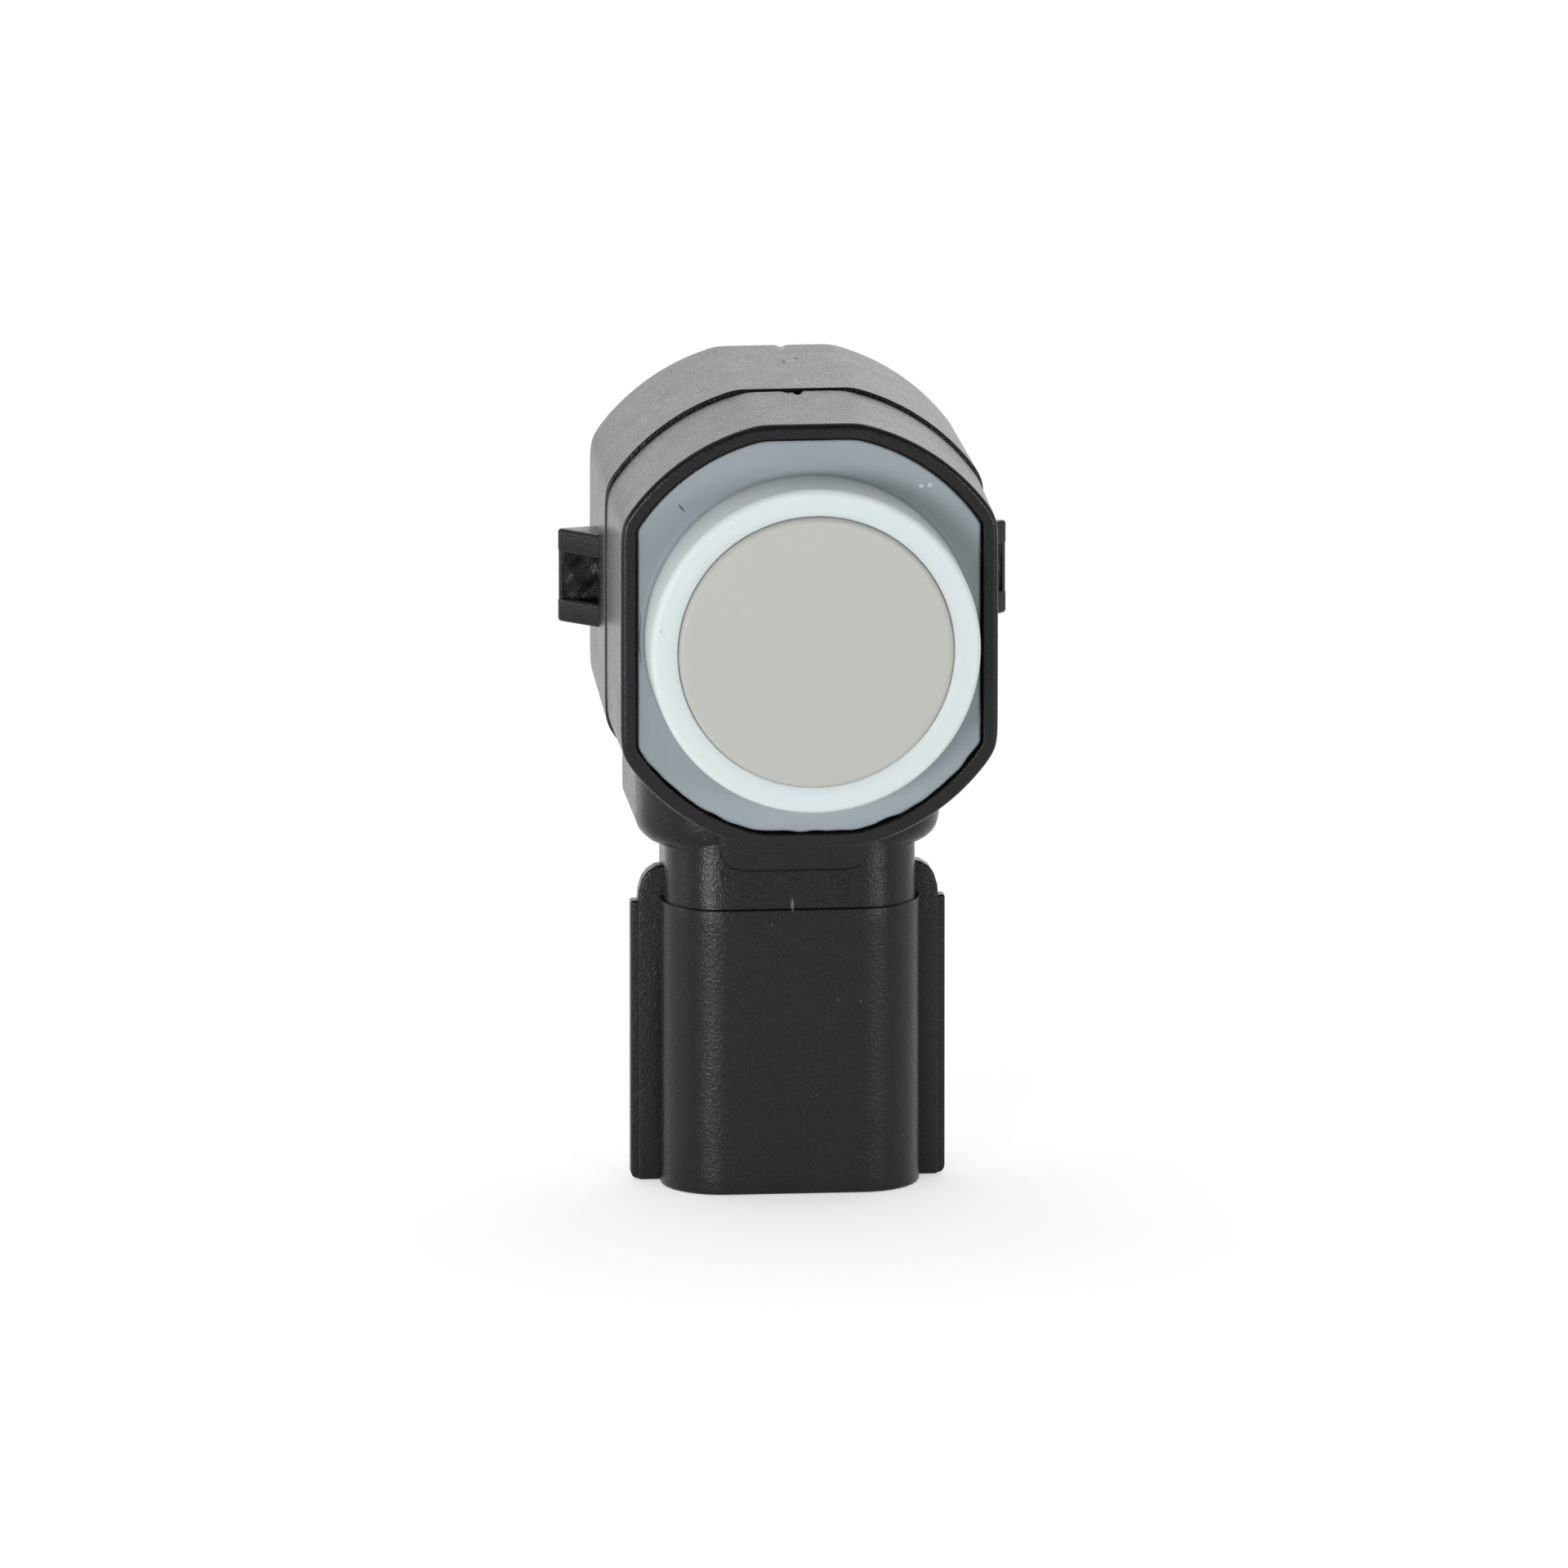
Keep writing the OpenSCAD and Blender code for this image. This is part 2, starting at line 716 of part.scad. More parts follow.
// Blade with a bevelled tip, and a tail that turns to the board
module terminal(x) {
    top = tail_z + blade_t / 2;
    foot = blade_w / 2 - blade_tip;
    color([0.80, 0.80, 0.78]) translate([x, 0, 0]) {
        along_y(blade_y - blade_t / 2, blade_y + blade_t / 2) polygon([
            [-foot, blade_z], [foot, blade_z], [blade_w / 2, blade_z + blade_tip],
            [blade_w / 2, top], [-blade_w / 2, top], [-blade_w / 2, blade_z + blade_tip]
        ]);
        translate([-blade_w / 2, tail_y, tail_z - blade_t / 2]) {
            cube([blade_w, blade_y - tail_y, blade_t]);
        }
    }
}

module terminal_left() {
    terminal(blade_places[0]);
}

module terminal_middle() {
    terminal(blade_places[1]);
}

module terminal_right() {
    terminal(blade_places[2]);
}

module circuit_board() {
    color([0.10, 0.32, 0.16]) difference() {
        along_y(board_y, board_back_y) cavity_outline(board_gap);
        for (s = [-1, 1]) {
            rod_y(pin_r + glue_gap, board_y - over, board_back_y + over, s * pin_pitch / 2, 0);
        }
        for (x = blade_places) {
            translate([x - blade_w / 2, board_y - over, tail_z - blade_t / 2]) {
                cube([blade_w, board_t + 2 * over, blade_t]);
            }
        }
    }
}

module control_chip() {
    color([0.09, 0.09, 0.10]) on_board(chip_at, chip_size, chip_lift);
}

// One gull-wing lead, drawn from the chip's side outwards and down to the board
module chip_lead() {
    side = chip_size[0] / 2;
    high = chip_lift + chip_size[2] / 2;
    bend = side + chip_lead_reach / 2;
    linear_extrude(chip_lead_w, center = true) polygon([
        [side, high], [bend, high], [bend, chip_lead_t], [side + chip_lead_reach, chip_lead_t],
        [side + chip_lead_reach, 0], [bend - chip_lead_t, 0], [bend - chip_lead_t, high - chip_lead_t],
        [side, high - chip_lead_t]
    ]);
}

module chip_leads() {
    color([0.75, 0.75, 0.74]) translate([chip_at[0], board_back_y, chip_at[1]]) {
        for (i = [0 : chip_rows - 1]) {
            translate([0, 0, (i - (chip_rows - 1) / 2) * chip_pitch]) {
                chip_lead();
                mirror([1, 0, 0]) chip_lead();
            }
        }
    }
}

// Ferrite core: a base, a round post and two end walls with a lid
module transformer_core() {
    inner = core_size[2] - 2 * core_end;
    color([0.20, 0.20, 0.22]) difference() {
        on_board(core_at, core_size);
        difference() {
            translate([core_at[0] - core_size[0] / 2 + core_end, board_back_y + core_end, core_at[1]]) {
                translate([0, 0, -core_size[1]]) cube([core_size[0] - 2 * core_end, inner, 2 * core_size[1]]);
            }
            rod_y(core_post_r, board_back_y, board_back_y + core_size[2], core_at[0], core_at[1]);
        }
    }
}

module transformer_coil() {
    coil_r = core_size[0] / 2 - core_end - coil_gap;
    low_y = board_back_y + core_end;
    high_y = board_back_y + core_size[2] - core_end;
    color([0.70, 0.38, 0.16]) difference() {
        rod_y(coil_r, low_y, high_y, core_at[0], core_at[1]);
        rod_y(core_post_r + glue_gap, low_y - over, high_y + over, core_at[0], core_at[1]);
    }
}

module storage_capacitor() {
    color([0.75, 0.55, 0.15]) on_board(store_at, store_size);
}

module filter_capacitors() {
    color([0.62, 0.50, 0.38]) for (p = filter_places) {
        on_board(p, filter_size);
    }
}

module resistors() {
    color([0.12, 0.12, 0.12]) for (p = resistor_places) {
        on_board(p, resistor_size);
    }
}

module diode() {
    color([0.14, 0.14, 0.15]) on_board(diode_at, diode_size);
}

// Resin round everything behind the front wall
module potting() {
    color([0.07, 0.07, 0.08]) difference() {
        cavity(resin_y);
        for (p = post_places) {
            rod_y(post_r, inner_y - over, board_y, p[0], p[1]);
        }
        circuit_board_space();
        contact_pin_left();
        contact_pin_right();
        terminal_left();
        terminal_middle();
        terminal_right();
        control_chip();
        chip_leads();
        on_board(core_at, core_size);
        storage_capacitor();
        filter_capacitors();
        resistors();
        diode();
    }
}

// Room that the board takes up in the resin
module circuit_board_space() {
    along_y(board_y, board_back_y) cavity_outline(board_gap);
}

housing();
front_ring();
decoupling_ring();
membrane_pot();
piezo_disc();
damping_foam();
pot_seal();
piezo_lead();
ground_lead();
contact_carrier();
contact_pin_left();
contact_pin_right();
circuit_board();
control_chip();
chip_leads();
transformer_core();
transformer_coil();
storage_capacitor();
filter_capacitors();
resistors();
diode();
terminal_left();
terminal_middle();
terminal_right();
potting();
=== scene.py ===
import math
import bpy
import numpy as np
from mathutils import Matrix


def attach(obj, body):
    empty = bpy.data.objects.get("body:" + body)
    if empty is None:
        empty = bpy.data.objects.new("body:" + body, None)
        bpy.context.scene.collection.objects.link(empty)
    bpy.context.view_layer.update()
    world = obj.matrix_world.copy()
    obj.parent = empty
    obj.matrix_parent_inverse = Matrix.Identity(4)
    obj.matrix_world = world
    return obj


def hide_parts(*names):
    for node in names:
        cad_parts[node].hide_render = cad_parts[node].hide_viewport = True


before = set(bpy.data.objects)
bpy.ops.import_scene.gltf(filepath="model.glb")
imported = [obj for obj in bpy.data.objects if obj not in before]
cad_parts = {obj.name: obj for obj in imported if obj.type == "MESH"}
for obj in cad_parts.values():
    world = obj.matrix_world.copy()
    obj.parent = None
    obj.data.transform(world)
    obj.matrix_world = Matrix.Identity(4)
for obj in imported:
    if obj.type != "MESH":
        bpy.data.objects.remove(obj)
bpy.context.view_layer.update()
print("frame loaded")

mm = 0.001
tiny = 1e-6  # keeps a divisor off zero
farOff = 99  # how far away a flat counts at the angles where it runs past
turn = np.linspace(0, 2 * np.pi, 640, endpoint=False)  # angles round the nose axis
scene = bpy.context.scene


# mesh of a closed skin: rows of points (rows, columns, 3) in millimetres, columns run round; the two ends
# are closed by flat caps, or the last row joins the first when the rows go round too
def skin(rows, ring=False):
    count, wide = rows.shape[:2]
    grid = np.arange(count * wide).reshape(count, wide)
    after = np.roll(grid, -1, axis=0) if ring else grid[1:]
    before = grid if ring else grid[:-1]
    quads = np.stack([before, np.roll(before, -1, 1), np.roll(after, -1, 1), after], -1).reshape(-1, 4)
    caps = [] if ring else [grid[0][::-1], grid[-1]]
    return rows.reshape(-1, 3), quads, caps


# six times the volume of the skin, as the sum of the triple products of its triangles
def volume(points, quads, caps):
    fans = [np.stack([np.full(len(c) - 2, c[0]), c[1:-1], c[2:]], -1) for c in caps]
    tris = np.concatenate([quads[:, [0, 1, 2]], quads[:, [0, 2, 3]]] + fans)
    a, b, c = points[tris[:, 0]], points[tris[:, 1]], points[tris[:, 2]]
    return float(np.einsum("ij,ij->i", a, np.cross(b, c)).sum())


# one object out of several skins, each turned so that its faces look outwards
def piece(name, skins):
    allPoints, allFaces, start = [], [], 0
    for points, quads, caps in skins:
        step = -1 if volume(points, quads, caps) < 0 else 1
        allPoints.append(points)
        allFaces += (quads[:, ::step] + start).tolist() + [(c[::step] + start).tolist() for c in caps]
        start += len(points)
    mesh = bpy.data.meshes.new(name)
    mesh.from_pydata((np.concatenate(allPoints) * mm).tolist(), [], allFaces)
    mesh.polygons.foreach_set("use_smooth", np.ones(len(mesh.polygons), bool))
    mesh.update()
    obj = bpy.data.objects.new(name, mesh)
    scene.collection.objects.link(obj)
    return obj


# smooth smallest of several curves: minus k times the log of the sum of exp(-curve / k)
def softMin(k, *curves):
    stack = np.stack(np.broadcast_arrays(*curves))
    low = stack.min(0)
    return low - k * np.log(np.exp(-(stack - low) / k).sum(0))


# radius of the trimmed round at each angle: the smooth smallest of the circle and the side flats, then of that
# and the top and bottom flats, which meet the round at a crisper corner
def trimmedRadius(r, halfW, halfH, k=0.2):
    side = halfW / np.maximum(np.abs(np.cos(turn)), tiny)
    top = halfH / np.maximum(np.abs(np.sin(turn)), tiny)
    rounded = softMin(k, np.full_like(turn, r), np.minimum(side, farOff))
    return softMin(0.05, rounded, np.minimum(top, farOff))


# points of a curve given by radius and angle in X and Z, at a place on Y
def atY(radius, y):
    return np.stack([radius * np.cos(turn), np.broadcast_to(y, turn.shape), radius * np.sin(turn)], -1)


# rounded edge as steps of (inset, depth): a quarter circle of radius r from the face over to the wall
def edgeSteps(r, count=6):
    a = np.linspace(0, np.pi / 2, count)
    return np.stack([r * (1 - np.sin(a)), r * (1 - np.cos(a))], -1)


# rounded rectangle round its own middle: four quarter circles joined by divided straight sides
def roundRect(w, d, r, inset=0.0, count=10, parts=6):
    rr = max(r - inset, 0.03)
    hw, hd = w / 2 - inset, d / 2 - inset
    a = np.linspace(0, np.pi / 2, count)
    arc = np.stack([np.cos(a), np.sin(a)], -1) * rr
    spin = [np.array([[c, s], [-s, c]]) for c, s in ((1, 0), (0, 1), (-1, 0), (0, -1))]
    mid = [(sx * (hw - rr), sy * (hd - rr)) for sx, sy in ((1, 1), (-1, 1), (-1, -1), (1, -1))]
    arcs = [arc @ m + np.array(c) for m, c in zip(spin, mid)]
    share = np.linspace(0, 1, parts + 2)[1:-1, None]
    sides = [arcs[i][-1] * (1 - share) + arcs[(i + 1) % 4][0] * share for i in range(4)]
    return np.concatenate([x for pair in zip(arcs, sides) for x in pair])


# polygon with each corner cut back by its radius and turned by a curve: the quadratic through the corner
def softPolygon(corners, r, count=6, parts=4):
    c = np.array(corners, float)
    r = np.broadcast_to(np.array(r, float), (len(c),))[:, None]
    back, ahead = np.roll(c, 1, 0) - c, np.roll(c, -1, 0) - c
    lb, la = np.linalg.norm(back, axis=1, keepdims=True), np.linalg.norm(ahead, axis=1, keepdims=True)
    most = 0.45  # largest share of a side that a corner may take
    start = c + back / lb * np.minimum(r, lb * most)
    stop = c + ahead / la * np.minimum(r, la * most)
    t = np.linspace(0, 1, count)[None, :, None]
    bend = start[:, None] * (1 - t) ** 2 + 2 * c[:, None] * t * (1 - t) + stop[:, None] * t ** 2
    share = np.linspace(0, 1, parts + 2)[1:-1][None, :, None]
    side = stop[:, None] * (1 - share) + np.roll(start, -1, 0)[:, None] * share
    return np.concatenate([bend, side], 1).reshape(-1, 2)


# closed line drawn in by a distance: each point moves along the mean of its two edge normals
def drawnIn(line, inset):
    edge = np.roll(line, -1, 0) - line
    edge /= np.maximum(np.linalg.norm(edge, axis=1, keepdims=True), 1e-9)
    n = np.stack([edge[:, 1], -edge[:, 0]], -1)
    area = (line[:, 0] * np.roll(line[:, 1], -1) - np.roll(line[:, 0], -1) * line[:, 1]).sum()
    n = n * np.sign(area)
    m = n + np.roll(n, 1, 0)
    m /= np.maximum((m * n).sum(1, keepdims=True), 0.3)
    return line - m * inset


# bar with rounded ends: one outline carried along an axis, drawn in at both ends by a quarter circle
def bar(corners, radii, low, high, r, place):
    c, soften, steps = np.array(corners, float), np.array(radii), edgeSteps(r)
    levels = [(i, low + d) for i, d in steps] + [(i, high - d) for i, d in steps[::-1]]
    lines = [place(softPolygon(drawnIn(c, i), np.maximum(soften - i, 0.01)), h) for i, h in levels]
    return skin(np.stack(lines))


# outline in X and Y set at a height, in X and Z set at a depth, in Y and Z set across
def levelZ(line, z):
    return np.stack([line[:, 0], line[:, 1], np.full(len(line), z)], -1)


def levelY(line, y):
    return np.stack([line[:, 0], np.full(len(line), y), line[:, 1]], -1)


def levelX(line, x):
    return np.stack([np.full(len(line), x), line[:, 0], line[:, 1]], -1)


ring = dict(r=12.5, halfW=10.65, halfH=12.2, seam=9.45, groove=0.28, grooveDeep=0.5, rim=0.9, edge=0.3,
            lip=0.12, wall=0.95, web=1.6, webFront=2.3, webBack=3.6, nick=0.2, nickStart=8.1)


# outline of the front ring drawn in by an inset, its corners crisper further in
def ringRadius(inset):
    k = max(0.2 - 0.18 * inset / ring["rim"], 0.03)
    return trimmedRadius(ring["r"] - inset, ring["halfW"] - inset, ring["halfH"] - inset, k)


# front ring: profile of (Y, inset) carried round the trimmed outline; the nick in its rear edge is the sum of
# two dips, each a share times exp(-(distance / half width) to a power)
def ringRows():
    p, e, lip, rim = ring, ring["edge"], ring["lip"], ring["rim"]
    seam, deep = p["seam"], p["grooveDeep"]
    mouth = seam - p["groove"]
    profile = [(seam, p["wall"]), (seam, deep + 0.04), (seam - 0.02, deep), (mouth + 0.02, deep)]
    profile += [(mouth, deep - 0.03), (mouth, 0.09), (mouth - 0.03, 0.03), (mouth - 0.1, 0.0)]
    profile += [(y, 0.0) for y in (*np.linspace(9.0, 7.4, 9), *np.linspace(6.9, e + 0.05, 7))]
    profile += [(d, i) for i, d in edgeSteps(e, 9)[::-1]]
    profile += [(0.0, e + 0.08), (0.0, rim - lip - 0.02)]
    profile += [(lip - d, rim - i) for i, d in (lip - edgeSteps(lip, 5))]
    profile += [(0.5, rim), (p["webFront"] - 0.05, rim), (p["webFront"], p["web"]), (p["webBack"], p["web"])]
    profile += [(p["webBack"] + 0.05, p["wall"])]
    x = p["r"] * np.cos(turn)
    dips = ((1.0, 0.13, 0.22, 4), (0.35, -0.4, 0.25, 2))
    nick = sum(share * np.exp(-((x - mid) / half) ** power) for share, mid, half, power in dips)
    nick = p["nick"] * nick * (np.sin(turn) > 0)
    rows = []
    for y, inset in profile:
        drop = nick * np.clip(y - p["nickStart"], 0, 1) * (inset < 0.1)
        rows.append(atY(ringRadius(inset) - drop, y))
    return skin(np.stack(rows), ring=True)


soft = dict(face=0.3, inset=0.95, collar=9.3, bore=7.77, front=-4.0, back=5.4, foot=0.3, lip=0.34, edge=0.16,
            root=2.25, bead=8.9, beadFront=2.35)


# soft ring: flange outline, wavy below by products of sines, that turns into the collar's circle point by
# point along each ray, then the collar, its bore and the bead behind
def softRows():
    p, f, foot = soft, soft["face"], soft["collar"] + soft["foot"]
    wavy = 0.05 * np.sin(17 * turn) * np.sin(5 * turn + 1) + 0.035 * np.sin(43 * turn + 2) * np.sin(7 * turn)
    outline = ringRadius(p["inset"]) + wavy * np.clip(-np.sin(turn) * 2 - 0.4, 0, 1)
    circle = np.ones_like(turn)
    rows = [atY(outline, p["root"]), atY(outline, f + 0.2)]
    rows += [atY(outline - i, f + d) for i, d in edgeSteps(p["edge"], 6)[::-1]]
    rows += [atY(outline - 0.2, f)]
    rows += [atY(outline * (1 - t) + foot * t - 0.2 * (1 - t), f) for t in np.linspace(0.15, 0.97, 6)]
    for a in np.linspace(0, np.pi / 2, 8):
        rows.append(atY(circle * (foot - p["foot"] * np.sin(a)), f - p["foot"] * (1 - np.cos(a))))
    rows += [atY(circle * p["collar"], y) for y in np.linspace(-0.3, p["front"] + p["lip"] + 0.04, 8)]
    rows += [atY(circle * (p["collar"] - i), p["front"] + d) for i, d in edgeSteps(p["lip"], 9)[::-1]]
    rows += [atY(circle * r, p["front"]) for r in (p["collar"] - p["lip"] - 0.05, 8.4, p["bore"] + 0.1)]
    rows += [atY(circle * p["bore"], y) for y in (p["front"] + 0.1, -2.0, 2.0, p["back"])]
    rows += [atY(circle * p["bead"], p["back"]), atY(circle * p["bead"], p["beadFront"])]
    return skin(np.stack(rows), ring=True)


pot = dict(r=7.75, front=-4.3, edge=0.28, back=4.8, middle=0.4)


# membrane cup: profile of (radius, Y) turned about the nose axis, with a rounded painted edge
def potRows():
    r, e, front, back = pot["r"], pot["edge"], pot["front"], pot["back"]
    profile = [(x, front) for x in (pot["middle"], 3.0, 6.0, r - e - 0.06)]
    profile += [(r - i, front + d) for i, d in edgeSteps(e, 9)]
    profile += [(r, y) for y in (-3.9, -3.5, 0.0, back)] + [(pot["middle"], back)]
    return skin(np.stack([atY(np.full_like(turn, x), y) for x, y in profile]))


body = dict(r=12.7, halfW=10.73, halfH=12.28, draft=0.3, front=9.45, back=22.8, wall=1.4, edge=0.16, lip=0.14,
            notch=0.12, notchX=0.45, notchHalf=0.22)
hump = dict(halfW=8.6, low=14.55, corner=1.3, upright=4.5, chin=0.9)


# ray from the nose axis to the shoulder's rounded outline, zero above the axis; the outline grows behind the
# front by quarter circles, one for the sides and one for the chin
def humpRadius(y, inset):
    u = max(y - body["front"], 0.0)
    side, chin = hump["upright"], hump["chin"]
    w = hump["halfW"] - side + math.sqrt(side ** 2 - max(side - u, 0) ** 2) - inset
    low = hump["low"] - chin + math.sqrt(chin ** 2 - max(chin - u, 0) ** 2) - inset
    r = max(hump["corner"] - inset, 0.3)
    c, s = np.abs(np.cos(turn)), np.maximum(-np.sin(turn), tiny)
    straight = np.minimum(w / np.maximum(c, tiny), low / s)
    dot = c * (w - r) + s * (low - r)
    inside = r ** 2 - ((w - r) ** 2 + (low - r) ** 2) + dot ** 2
    curved = dot + np.sqrt(np.maximum(inside, 0))
    corner = (straight * c > w - r) & (straight * s > low - r)
    return np.where(np.sin(turn) < -0.05, np.where(corner, curved, straight), 0)


# barrel and shoulder as one outline: the smooth largest of both rays, the barrel leaning in with the depth
def bodyRadius(y, inset, draft=0.0):
    lean = inset + draft * max(y - body["front"], 0) / (body["back"] - body["front"])
    barrel = trimmedRadius(body["r"] - lean, body["halfW"] - lean, body["halfH"] - lean)
    return -softMin(0.05, -barrel, -humpRadius(y, inset))


# barrel: outline carried from the seam to the back edge, over it and down inside past the resin's level; the
# notch in the back edge is a depth times exp(-(distance / half width) squared)
def bodyRows():
    p, f, b, e, w, lip = body, body["front"], body["back"], body["edge"], body["wall"], body["lip"]
    outer = [(f, 0.4)] + [(f + d, i) for i, d in edgeSteps(0.1, 5)]
    outer += [(f + 0.1 + 2.6 * t * t, 0.0) for t in np.linspace(0.08, 1, 18)]
    outer += [(y, 0.0) for y in np.linspace(12.6, b - e - 0.1, 9)]
    outer += [(b - d, i) for i, d in edgeSteps(e, 8)[::-1]] + [(b, e + 0.06)]
    inner = [(b, w - lip - 0.04)] + [(b - lip + d, w - i) for i, d in (lip - edgeSteps(lip, 5))]
    inner += [(b - 0.4, w), (fill["level"] - 0.6, w)]
    away = (p["r"] * np.cos(turn) - p["notchX"]) / p["notchHalf"]
    notch = p["notch"] * np.exp(-away ** 2) * (np.sin(turn) > 0)
    rows = [atY(bodyRadius(y, i, p["draft"]) - notch * (y > b - 0.6), y) for y, i in outer]
    return skin(np.stack(rows + [atY(bodyRadius(y, i), y) for y, i in inner]))


fill = dict(level=22.3, inset=1.42, deep=0.8, climb=0.16, fade=0.35, wave=0.02)


# resin: fill with a slight wave that climbs at the wall, by a height times exp(-distance / fade)
def resinRows():
    p = fill
    wave = p["wave"] * np.sin(3 * turn)
    side = [(p["inset"], p["level"] - p["deep"]), (p["inset"], p["level"] + 0.1)]
    insets = [p["inset"] + g for g in (0.05, 0.15, 0.3, 0.55, 0.9, 1.5, 3.0, 6.0)]
    top = [(i, p["level"] + p["climb"] * math.exp(-(i - p["inset"]) / p["fade"]) + wave) for i in insets]
    return skin(np.stack([atY(bodyRadius(body["back"], i), y) for i, y in side + top]))


neck = dict(w=14.2, foot=9.25, front=9.55, back=19.0, r=3.1, low=-18.1, high=-11.0, lean=-14.2)


# neck: rounded rectangle carried up, its front leaning back by a straight line from the shroud to the shoulder
def neckRows():
    p, foot = neck, shroud["high"]
    heights = np.concatenate([[p["low"]], np.linspace(foot, p["lean"], 8), [p["high"]]])
    t = np.clip((heights - foot) / (p["lean"] - foot), 0, 1)
    rows = []
    for front, z in zip(p["foot"] + (p["front"] - p["foot"]) * t, heights):
        rows.append(levelZ(roundRect(p["w"], p["back"] - front, p["r"]) + [0, (p["back"] + front) / 2], z))
    return skin(np.stack(rows))


pad = dict(halfLow=4.05, halfHigh=4.6, front=9.02, back=14.0, low=-15.55, high=-12.45, corner=1.3, edge=0.35)


# pad: profile in X and Z that widens upwards, carried from its soft front edge to the back
def padRows():
    p = pad
    corners = [[-p["halfLow"], p["low"]], [p["halfLow"], p["low"]],
               [p["halfHigh"], p["high"]], [-p["halfHigh"], p["high"]]]
    return bar(corners, [p["corner"], p["corner"], 0.1, 0.1], p["front"], p["back"], p["edge"], levelY)


flash = dict(low=-17.9, high=-17.1, front=9.2, back=9.8, soften=0.02)


# thin flash left by the mould on the neck: four-cornered profile in X and Z, carried from front to back
def flashRows():
    p = flash
    corners = [[-0.2, p["low"]], [-0.09, p["low"]], [-0.1, p["high"]], [-0.16, p["high"]]]
    return bar(corners, [p["soften"]] * 4, p["front"], p["back"], p["soften"], levelY)


shroud = dict(w=14.7, front=9.0, back=19.4, r=3.5, low=-34.2, high=-17.7, wall=1.25, roof=-19.6, edge=0.22,
              lip=0.3, corner=0.2)


# shroud: down the outside, round the mouth and up the inside to the socket's roof
def shroudRows():
    p, low, high, w, roof = shroud, shroud["low"], shroud["high"], shroud["wall"], shroud["roof"]
    lip, corner = p["lip"], p["corner"]
    depth, mid = p["back"] - p["front"], (p["back"] + p["front"]) / 2
    levels = [(high, 0.6)] + [(high - d, i) for i, d in edgeSteps(0.1)]
    levels += [(z, 0.0) for z in np.linspace(high - 1, low + 1, 9)]
    levels += [(low + d, i) for i, d in edgeSteps(p["edge"])[::-1]]
    levels += [(low, 0.3), (low, w - lip - 0.1)] + [(low + lip - d, w - i) for i, d in (lip - edgeSteps(lip))]
    levels += [(z, w) for z in np.linspace(low + 1, roof - 0.3, 6)]
    for a in np.linspace(0, 1.57, 5):
        levels.append((roof - corner + corner * math.sin(a), w + corner * (1 - math.cos(a))))
    levels += [(roof, w + 0.5)]
    return skin(np.stack([levelZ(roundRect(p["w"], depth, p["r"], i) + [0, mid], z) for z, i in levels]))


rail = dict(x=8.92, top=8.54, head=-18.05, crown=-15.95, low=-34.19, front=13.4, back=14.6, r=2.3, set=0.2,
            root=6.6, deep=5.0, ledge=-19.3)


# side rail: long plate with a round crown and a wider strip set back from its front, profiles in X and Z
# carried from front to back; the plate is rooted in the shroud's wall, and deeper above the socket's roof
def railRows(sign):
    p, root, low, top = rail, rail["root"], rail["low"], rail["top"]
    foot = low + 0.02
    strip = np.array([[root, foot], [p["x"], foot], [p["x"], p["head"]], [root, p["head"]]]) * [sign, 1]
    plate = np.array([[root, low], [top, low], [top, p["crown"]], [p["deep"], p["crown"]],
                      [p["deep"], p["ledge"]], [root, p["ledge"]]]) * [sign, 1]
    return [bar(strip, [0.02, 0.5, 0.15, 0.02], p["front"] + p["set"], p["back"], 0.12, levelY),
            bar(plate, [0.02, 0.2, p["r"], 0.02, 0.02, 0.02], p["front"], p["back"] - 0.04, 0.15, levelY)]


ear = dict(x=10.6, out=2.1, h=5.35, z=0.1, start=15.15, tip=17.15, heel=17.45, root=17.95, bay=2.6, wall=0.24,
           sink=0.5, set=0.03)


# clip ear: two wedge-shaped arms and the crest between them, profiles in X and Y carried up
def earRows(sign):
    p, x, s = ear, ear["x"], ear["set"]
    deep, tip, back = x - p["sink"], x + p["out"], p["tip"] + s
    wedge = [[deep, p["start"] - 0.5], [x, p["start"]], [tip, p["tip"]], [tip, p["heel"]], [x, p["root"]],
             [deep, p["root"]]]
    cut = back - p["wall"] * (p["tip"] - p["start"]) / p["out"]
    crest = [[tip - p["wall"], cut], [tip - s, back], [tip - s, p["heel"] - s], [x, p["root"] - s],
             [deep, p["root"] - s], [deep, back], [tip - p["wall"], back]]
    wedgeSoft, crestSoft = [0.05, 0.3, 0.24, 0.2, 0.2, 0.05], [0.05, 0.12, 0.15, 0.2, 0.05, 0.05, 0.05]
    half, bay, overlap = p["h"] / 2, p["bay"] / 2, 0.4
    parts = ((wedge, wedgeSoft, -half, -bay, 0.2), (wedge, wedgeSoft, bay, half, 0.2),
             (crest, crestSoft, -bay - overlap, bay + overlap, 0.05))
    return [bar(np.array(c) * [sign, 1], soften, p["z"] + a, p["z"] + b, r, levelZ)
            for c, soften, a, b, r in parts]


# uneven floor of an ear's pocket: depth is a slope in Z plus products of sines of X and Z, over a flat back
def pocketRows(sign):
    p, margin = ear, 0.1
    x = np.linspace(p["x"] - 0.4, p["x"] + p["out"] - p["wall"] - 0.02, 30)
    z = np.linspace(-p["bay"] / 2 - margin, p["bay"] / 2 + margin, 40)[:, None]
    lump = 0.05 * np.sin(2.3 * x + 1.3 * z) * np.sin(2.9 * z - 1.2 * x + 0.7)
    lump = lump + 0.012 * np.sin(7 * x + 1) * np.sin(6 * z + sign)
    front = p["tip"] - 0.12 - 0.1 * z / p["bay"] + lump
    face = np.stack(np.broadcast_arrays(sign * x, front, p["z"] + z), -1)
    rear = np.stack(np.broadcast_arrays(sign * x[::-1], p["tip"] + 0.1, p["z"] + z), -1)
    return skin(np.concatenate([face, rear], 1))


